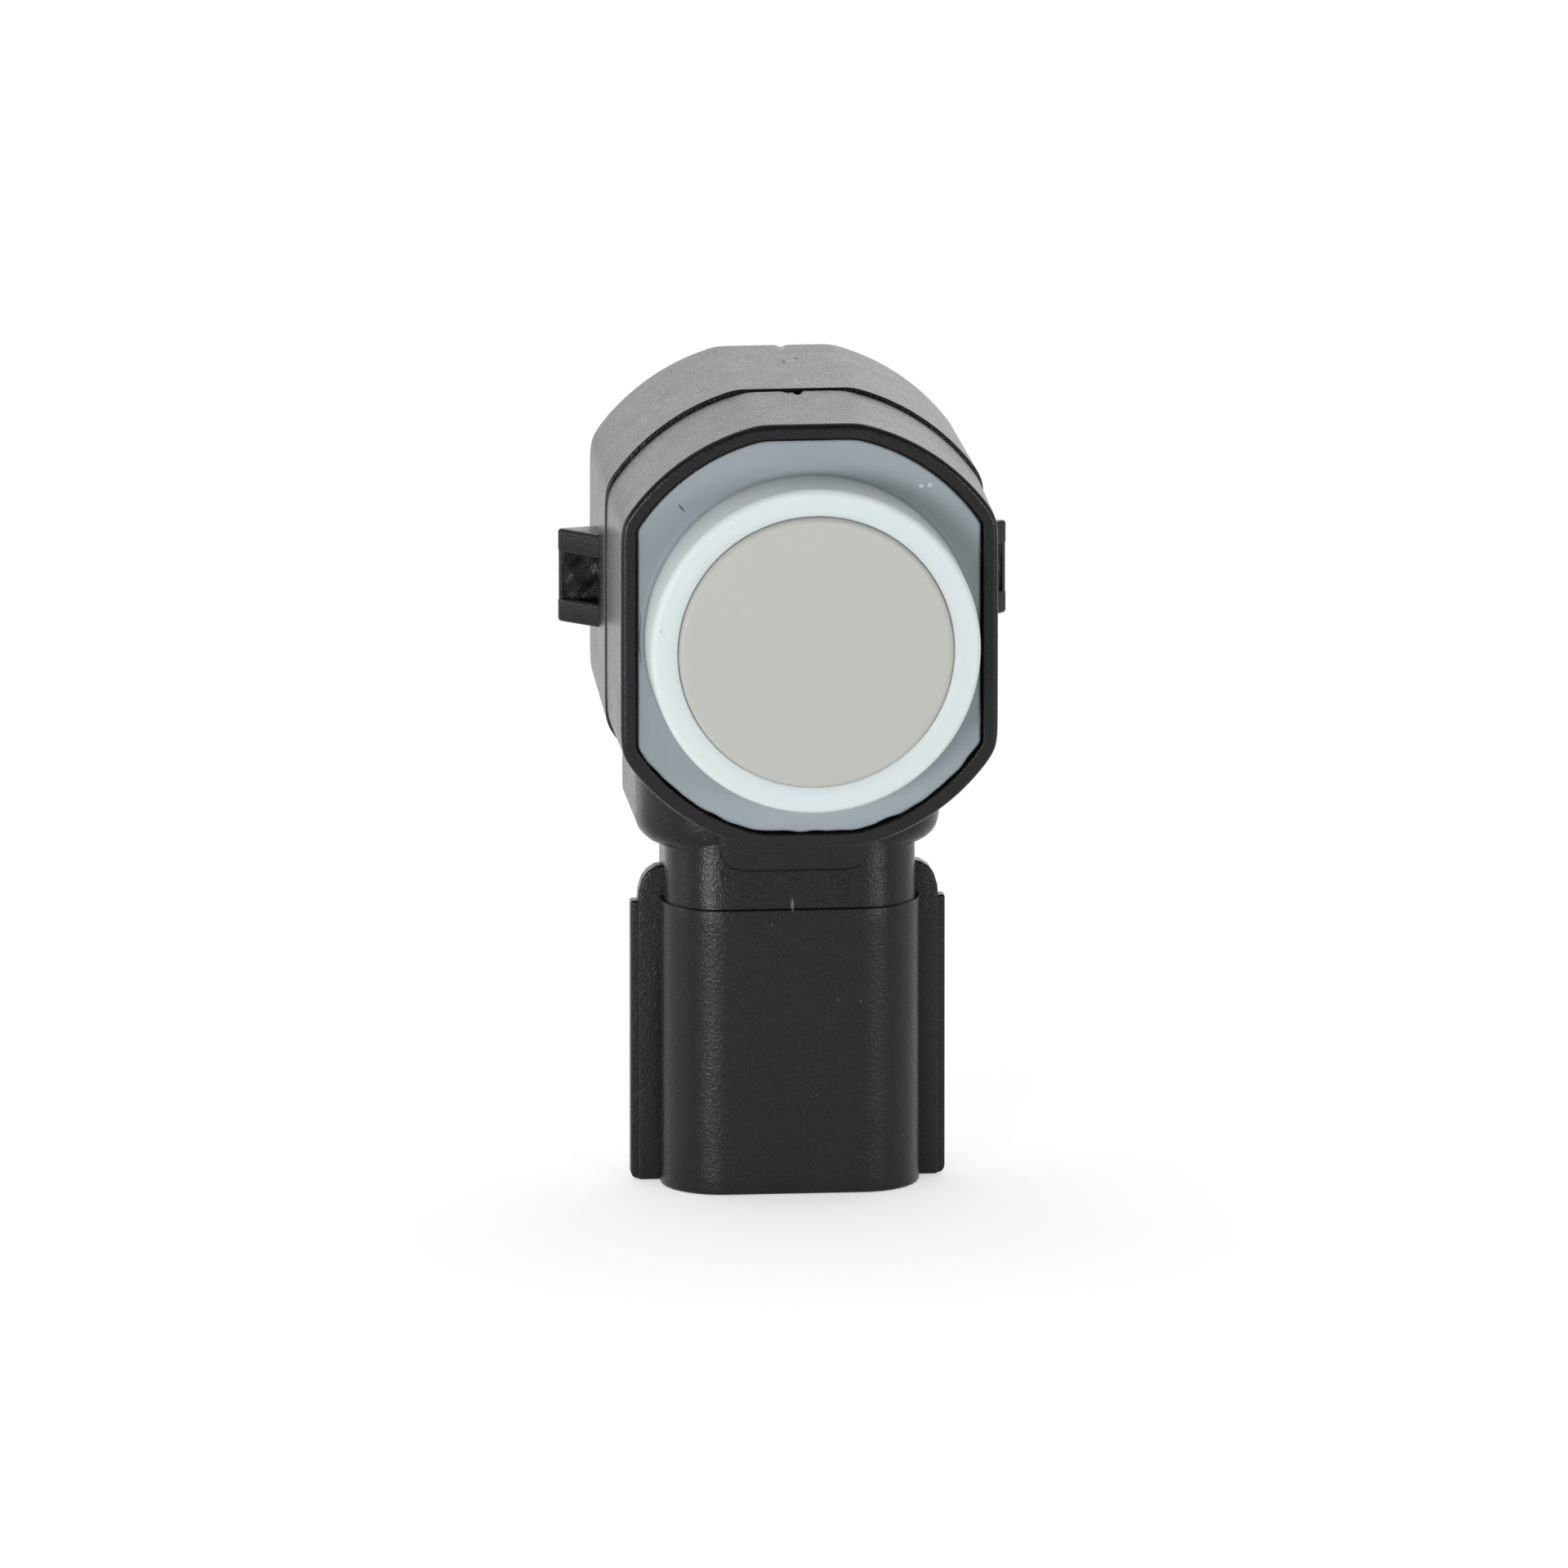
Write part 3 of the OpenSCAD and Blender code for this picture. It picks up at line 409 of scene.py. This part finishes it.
nib = dict(w=4.4, out=0.8, low=-30.8, high=-28.2, flat=0.6, sink=0.5, edge=0.15)


# lock nib: ramp profile in Y and Z carried across
def nibRows():
    p, back = nib, shroud["back"]
    deep, out = back - p["sink"], back + p["out"]
    corners = [[deep, p["low"]], [back, p["low"]], [out, p["high"] - p["flat"]], [out, p["high"]],
               [deep, p["high"]]]
    return bar(corners, [0.05, 0.2, 0.25, 0.2, 0.05], -p["w"] / 2, p["w"] / 2, p["edge"], levelX)


housing = piece("housing_skin", [bodyRows(), neckRows(), padRows(), flashRows(), shroudRows(), nibRows()]
                + railRows(1) + railRows(-1) + earRows(1) + earRows(-1) + [pocketRows(1), pocketRows(-1)])
frontRing = piece("front_ring_skin", [ringRows()])
softRing = piece("soft_ring_skin", [softRows()])
membrane = piece("membrane_skin", [potRows()])
resin = piece("resin_skin", [resinRows()])
print("skins made")

for obj, node, slotName in ((housing, "housing", "housing_plastic"), (frontRing, "front_ring", "ring_plastic"),
                            (softRing, "decoupling_ring", "silicone"),
                            (membrane, "membrane_pot", "painted_aluminium"), (resin, "potting", "resin")):
    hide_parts(node)
    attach(obj, "root")


# node of a shader tree with its sockets set or linked
def put(tree, kind, links=None, **values):
    n = tree.nodes.new(kind)
    for key, value in values.items():
        setattr(n, key, value)
    for key, value in (links or {}).items():
        if isinstance(value, bpy.types.NodeSocket):
            tree.links.new(value, n.inputs[key])
        else:
            n.inputs[key].default_value = value
    return n


# result of a sum, a product or another plain operation in a shader tree
def reckon(tree, operation, *terms, **values):
    return put(tree, "ShaderNodeMath", dict(enumerate(terms)), operation=operation, **values).outputs[0]


# grained material: a broad noise varies the colour, a fine one the roughness and the height of the surface
def grained(name, look):
    mat = bpy.data.materials.new(name)
    mat.use_nodes = True
    tree = mat.node_tree
    tree.nodes.clear()
    where = put(tree, "ShaderNodeTexCoord").outputs["Object"]
    broad = put(tree, "ShaderNodeTexNoise", {
        "Vector": where, "Scale": look["broad"], "Detail": 4.0, "Roughness": 0.6}).outputs["Fac"]
    grain = put(tree, "ShaderNodeTexNoise", {
        "Vector": where, "Scale": look["fine"], "Detail": 3.0, "Roughness": 0.55}).outputs["Fac"]
    tint = put(tree, "ShaderNodeMix", {"Factor": broad, "A": (*look["dark"], 1), "B": (*look["light"], 1)},
               data_type="RGBA")
    shine = put(tree, "ShaderNodeMapRange", {
        "Value": grain, "From Min": 0.3, "From Max": 0.7,
        "To Min": look["rough"] - look["spread"], "To Max": look["rough"] + look["spread"]})
    blotch = reckon(tree, "MULTIPLY_ADD", broad, look["blotch"], shine.outputs["Result"])
    relief = put(tree, "ShaderNodeBump", {"Height": grain, "Strength": 1.0, "Distance": look["bump"] * mm})
    surface = put(tree, "ShaderNodeBsdfPrincipled", {
        "Base Color": tint.outputs["Result"], "Roughness": blotch, "Normal": relief.outputs["Normal"],
        "Metallic": look["metal"], "Specular IOR Level": look["specular"]})
    put(tree, "ShaderNodeOutputMaterial", {"Surface": surface.outputs["BSDF"]})
    return mat, surface, where


# mixes another colour over the base colour of a surface by a mask
def over(surface, mask, colour):
    tree = surface.id_data
    under = surface.inputs["Base Color"].links[0].from_socket
    mixed = put(tree, "ShaderNodeMix", {"Factor": mask, "A": under, "B": (*colour, 1)}, data_type="RGBA")
    tree.links.new(mixed.outputs["Result"], surface.inputs["Base Color"])


# sets another roughness over the one of a surface by a mask
def polish(surface, mask, rough):
    tree = surface.id_data
    under = surface.inputs["Roughness"].links[0].from_socket
    mixed = put(tree, "ShaderNodeMix", {"Factor": mask, "A": under, "B": rough})
    tree.links.new(mixed.outputs["Result"], surface.inputs["Roughness"])


# mask of an oval spot in millimetres: one inside, zero outside, tilted in degrees about Y
def spot(tree, where, centre, half, tilt=0.0):
    local = put(tree, "ShaderNodeMapping", {
        "Vector": where, "Location": [c * mm for c in centre], "Rotation": (0, math.radians(tilt), 0),
        "Scale": [h * mm for h in half]}, vector_type="TEXTURE")
    far = put(tree, "ShaderNodeVectorMath", {0: local.outputs["Vector"]}, operation="LENGTH").outputs["Value"]
    return put(tree, "ShaderNodeMapRange", {"Value": far, "From Min": 1.1, "From Max": 0.6}).outputs["Result"]


# mask of sparse specks: dots round the points of a few cells of a scattered pattern
def specks(tree, where, scale, size, share):
    cells = put(tree, "ShaderNodeTexVoronoi", {"Vector": where, "Scale": scale})
    red = put(tree, "ShaderNodeSeparateColor", {"Color": cells.outputs["Color"]}).outputs["Red"]
    few = reckon(tree, "GREATER_THAN", red, 1 - share)
    dot = put(tree, "ShaderNodeMapRange", {
        "Value": cells.outputs["Distance"], "From Min": size, "From Max": size * 0.5})
    return reckon(tree, "MULTIPLY", few, dot.outputs["Result"])


# mask that climbs from zero to one between two places along an axis, in millimetres
def ramp(tree, where, axis, start, stop):
    place = put(tree, "ShaderNodeSeparateXYZ", {"Vector": where}).outputs[axis]
    return put(tree, "ShaderNodeMapRange", {"Value": place, "From Min": start * mm, "From Max": stop * mm},
               interpolation_type="SMOOTHSTEP").outputs["Result"]


def dress(obj, mat):
    obj.data.materials.clear()
    obj.data.materials.append(mat)


# what the looks have in common; broad and fine are the scales of the noises, bump is in millimetres
common = dict(spread=0.05, blotch=0.0, bump=0.001, metal=0.0, specular=0.3)

plasticLook = dict(common, dark=(0.0060, 0.0058, 0.0056), light=(0.0092, 0.0089, 0.0087), rough=0.2,
                   spread=0.07, blotch=0.12, broad=500.0, fine=6000.0, bump=0.032, specular=0.26)
dust = dict(scale=800.0, size=0.055, share=0.1)
black, surface, where = grained("black_plastic", plasticLook)
tree = black.node_tree
over(surface, specks(tree, where, **dust), (0.11, 0.105, 0.1))
for centre, half, colour in (
        ((-0.14, 9.2, -17.5), (0.1, 0.3, 0.45), (0.16, 0.155, 0.15)),  # flash on the neck
        ((0.3, 11.8, 12.3), (0.13, 0.9, 0.3), (0.2, 0.2, 0.195))):  # scuff on the barrel's top
    over(surface, spot(tree, where, centre, half), colour)
for centre, half, rough in (
        ((0.1, 17.6, 12.1), (0.14, 0.6, 0.4), 0.4),  # dull marks on the barrel's top
        ((0.92, 18.5, 12.1), (0.12, 0.5, 0.4), 0.4),
        ((11.5, 16.9, 0.1), (1.3, 0.5, 1.4), 0.12),  # shinier pockets of the ears
        ((-11.5, 16.9, 0.1), (1.3, 0.5, 1.4), 0.12)):
    polish(surface, spot(tree, where, centre, half), rough)
rimBlack = grained("ring_plastic", dict(plasticLook, bump=0.018))[0]

# silicone: bright on the cup; the flange gets a painted shade, greyer for the black plastic behind the thin
# silicone
siliconeLook = dict(common, dark=(0.66, 0.725, 0.73), light=(0.69, 0.75, 0.75), rough=0.45, broad=250.0,
                    fine=2600.0)
silicone, surface, where = grained("silicone", siliconeLook)
tree = silicone.node_tree
# painted shade: the same silicone greyer from the collar's foot back over the flange
over(surface, ramp(tree, where, "Y", -0.35, 0.22), (0.325, 0.37, 0.395))
for centre, half, tilt, colour in (
        ((-7.21, 0.3, 7.49), (0.3, 2, 0.06), 50, (0.05, 0.05, 0.055)),  # dark hair on the flange
        ((6.3, 0.3, 8.5), (0.16, 2, 0.12), 20, (0.62, 0.66, 0.67)),  # two pale specks on the flange
        ((6.8, 0.3, 8.55), (0.14, 2, 0.14), 0, (0.55, 0.59, 0.60)),
        ((-8.76, -4.0, 1.34), (0.07, 2, 0.07), 0, (0.40, 0.38, 0.36))):  # speck on the collar
    over(surface, spot(tree, where, centre, half, tilt), colour)
surface.inputs["Subsurface Weight"].default_value = 0.35
surface.inputs["Subsurface Radius"].default_value = (1.0, 1.0, 1.0)
surface.inputs["Subsurface Scale"].default_value = 0.8 * mm

paintLook = dict(common, dark=(0.478, 0.484, 0.452), light=(0.492, 0.498, 0.466), rough=0.45, broad=150.0,
                 fine=9000.0)
paint = grained("face_paint", paintLook)[0]
resinLook = dict(common, dark=(0.010, 0.010, 0.011), light=(0.016, 0.016, 0.018), rough=0.2, spread=0.08,
                 broad=300.0, fine=900.0, bump=0.002, specular=0.5)
resinMat = grained("black_resin", resinLook)[0]
for obj, mat in ((housing, black), (frontRing, rimBlack), (softRing, silicone), (membrane, paint),
                 (resin, resinMat)):
    dress(obj, mat)
print("materials made")

# pieces inside keep their solids: darker and lighter colour, roughness, metal
brass = ((0.66, 0.58, 0.36), (0.72, 0.64, 0.42), 0.28, 1.0)
tin = ((0.60, 0.60, 0.57), (0.68, 0.68, 0.65), 0.32, 1.0)
inner = {
    "piezo_disc": ((0.55, 0.47, 0.28), (0.62, 0.54, 0.34), 0.5, 0.0),
    "damping_foam": ((0.05, 0.05, 0.055), (0.08, 0.08, 0.085), 0.9, 0.0),
    "pot_seal": ((0.32, 0.30, 0.25), (0.38, 0.36, 0.30), 0.4, 0.0),
    "piezo_lead": ((0.42, 0.02, 0.015), (0.50, 0.03, 0.02), 0.45, 0.0),
    "ground_lead": ((0.012, 0.012, 0.014), (0.02, 0.02, 0.022), 0.45, 0.0),
    "contact_carrier": ((0.03, 0.03, 0.032), (0.04, 0.04, 0.043), 0.5, 0.0),
    "contact_pin_left": brass,
    "contact_pin_right": brass,
    "circuit_board": ((0.01, 0.08, 0.02), (0.015, 0.11, 0.03), 0.35, 0.0),
    "control_chip": ((0.008, 0.008, 0.009), (0.014, 0.014, 0.015), 0.5, 0.0),
    "chip_leads": ((0.52, 0.52, 0.51), (0.60, 0.60, 0.58), 0.3, 1.0),
    "transformer_core": ((0.03, 0.03, 0.035), (0.05, 0.05, 0.055), 0.6, 0.0),
    "transformer_coil": ((0.45, 0.12, 0.02), (0.55, 0.18, 0.04), 0.35, 1.0),
    "storage_capacitor": ((0.52, 0.26, 0.02), (0.60, 0.32, 0.03), 0.45, 0.0),
    "filter_capacitors": ((0.34, 0.21, 0.12), (0.40, 0.26, 0.16), 0.5, 0.0),
    "resistors": ((0.012, 0.012, 0.012), (0.02, 0.02, 0.02), 0.4, 0.0),
    "diode": ((0.015, 0.015, 0.017), (0.02, 0.02, 0.022), 0.45, 0.0),
    "terminal_left": tin,
    "terminal_middle": tin,
    "terminal_right": tin,
}
innerLook = dict(common, spread=0.08, broad=400.0, fine=3000.0, bump=0.003, specular=0.5)
for name, (dark, light, rough, metal) in inner.items():
    look = dict(innerLook, dark=dark, light=light, rough=rough, metal=metal)
    dress(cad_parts[name], grained(name + "_skin", look)[0])
print("inner pieces dressed")

# round floor just under the socket's mouth, lifted to white where the camera or a reflection sees it
floorLook = dict(reach=0.38, gap=0.02, grey=0.86, lift=0.52)
floorMesh = bpy.data.meshes.new("floor")
floorZ = (shroud["low"] - floorLook["gap"]) * mm
floorTurn = np.linspace(0, 2 * np.pi, 96, endpoint=False)
floorEdge = np.stack([floorLook["reach"] * np.cos(floorTurn), floorLook["reach"] * np.sin(floorTurn),
                      np.full_like(floorTurn, floorZ)], -1)
floorMesh.from_pydata(floorEdge.tolist(), [], [list(range(len(floorEdge)))])
floor = bpy.data.objects.new("floor", floorMesh)
scene.collection.objects.link(floor)
floorMat = bpy.data.materials.new("floor_white")
floorMat.use_nodes = True
tree = floorMat.node_tree
tree.nodes.clear()
path = put(tree, "ShaderNodeLightPath").outputs
seen = reckon(tree, "ADD", path["Is Camera Ray"], path["Is Glossy Ray"])
seen = reckon(tree, "ADD", seen, path["Is Transmission Ray"])
lift = reckon(tree, "MULTIPLY", seen, floorLook["lift"])
matte = put(tree, "ShaderNodeBsdfDiffuse", {"Color": (*[floorLook["grey"]] * 3, 1)})
glow = put(tree, "ShaderNodeEmission", {"Color": (1, 1, 1, 1), "Strength": lift})
both = put(tree, "ShaderNodeAddShader", {0: matte.outputs[0], 1: glow.outputs[0]})
put(tree, "ShaderNodeOutputMaterial", {"Surface": both.outputs[0]})
floorMesh.materials.append(floorMat)

# world: dim in front, brighter behind the sensor, and white where the camera or a reflection sees it
sky = dict(front=0.13, climb=0.85, start=-0.25, stop=0.6)
world = bpy.data.worlds.new("studio")
scene.world = world
world.use_nodes = True
tree = world.node_tree
tree.nodes.clear()
path = put(tree, "ShaderNodeLightPath").outputs
toward = put(tree, "ShaderNodeSeparateXYZ", {"Vector": put(tree, "ShaderNodeTexCoord").outputs["Generated"]})
behind = put(tree, "ShaderNodeMapRange", {
    "Value": toward.outputs["Y"], "From Min": sky["start"], "From Max": sky["stop"]},
    interpolation_type="SMOOTHSTEP").outputs["Result"]
level = reckon(tree, "MULTIPLY_ADD", behind, sky["climb"], sky["front"])
shown = reckon(tree, "ADD", path["Is Glossy Ray"], path["Is Transmission Ray"])
shown = reckon(tree, "MULTIPLY_ADD", shown, behind, path["Is Camera Ray"], use_clamp=True)
dim = put(tree, "ShaderNodeBackground", {"Color": (1, 1, 1, 1), "Strength": level})
white = put(tree, "ShaderNodeBackground", {"Color": (1, 1, 1, 1), "Strength": 1.0})
pick = put(tree, "ShaderNodeMixShader", {"Fac": shown, 1: dim.outputs[0], 2: white.outputs[0]})
put(tree, "ShaderNodeOutputWorld", {"Surface": pick.outputs[0]})


# direction away from the sensor at an azimuth and elevation in radians
def outward(a, e):
    return np.array([math.sin(a) * math.cos(e), -math.cos(a) * math.cos(e), math.sin(e)])


# softbox aimed at the sensor from an azimuth and elevation in degrees, at a distance in metres
def softbox(name, azimuth, elevation, far, size, watts):
    a, e = math.radians(azimuth), math.radians(elevation)
    data = bpy.data.lights.new(name, "AREA")
    data.shape = "RECTANGLE"
    data.size, data.size_y = size
    data.energy = watts
    lamp = bpy.data.objects.new(name, data)
    lamp.location = (outward(a, e) * far + np.array([0, 0.01, -0.01])).tolist()
    lamp.rotation_euler = (math.pi / 2 - e, 0, a)
    lamp.visible_camera = False
    scene.collection.objects.link(lamp)


softbox("key", -35, 50, 0.45, (0.24, 0.24), 0.05)
softbox("stripLeft", -26, 2, 0.45, (0.15, 0.1), 1.04)
softbox("stripRight", 33, 4, 0.45, (0.14, 0.12), 0.52)
softbox("sideLeft", -84, 4, 0.5, (0.3, 0.26), 0.65)
softbox("sideRight", 80, 4, 0.5, (0.3, 0.26), 0.3)
softbox("back", 180, 14, 0.8, (1.2, 0.36), 0.75)

# camera from the photograph: a long lens a little to the left and above, width of the picture in millimetres
shot = dict(azimuth=-5.2, elevation=12.5, lens=1200, sensor=36, wide=88.48, target=(-0.548, 10.0, -10.653))
azimuth, elevation = math.radians(shot["azimuth"]), math.radians(shot["elevation"])
camData = bpy.data.cameras.new("camera")
camData.sensor_width = shot["sensor"]
camData.lens = shot["lens"]
far = shot["wide"] * mm * shot["lens"] / shot["sensor"]
cam = bpy.data.objects.new("camera", camData)
cam.location = (np.array(shot["target"]) * mm + outward(azimuth, elevation) * far).tolist()
cam.rotation_euler = (math.pi / 2 - elevation, 0, azimuth)
scene.collection.objects.link(cam)
scene.camera = cam
scene.view_settings.view_transform = "Standard"
print("stage set")
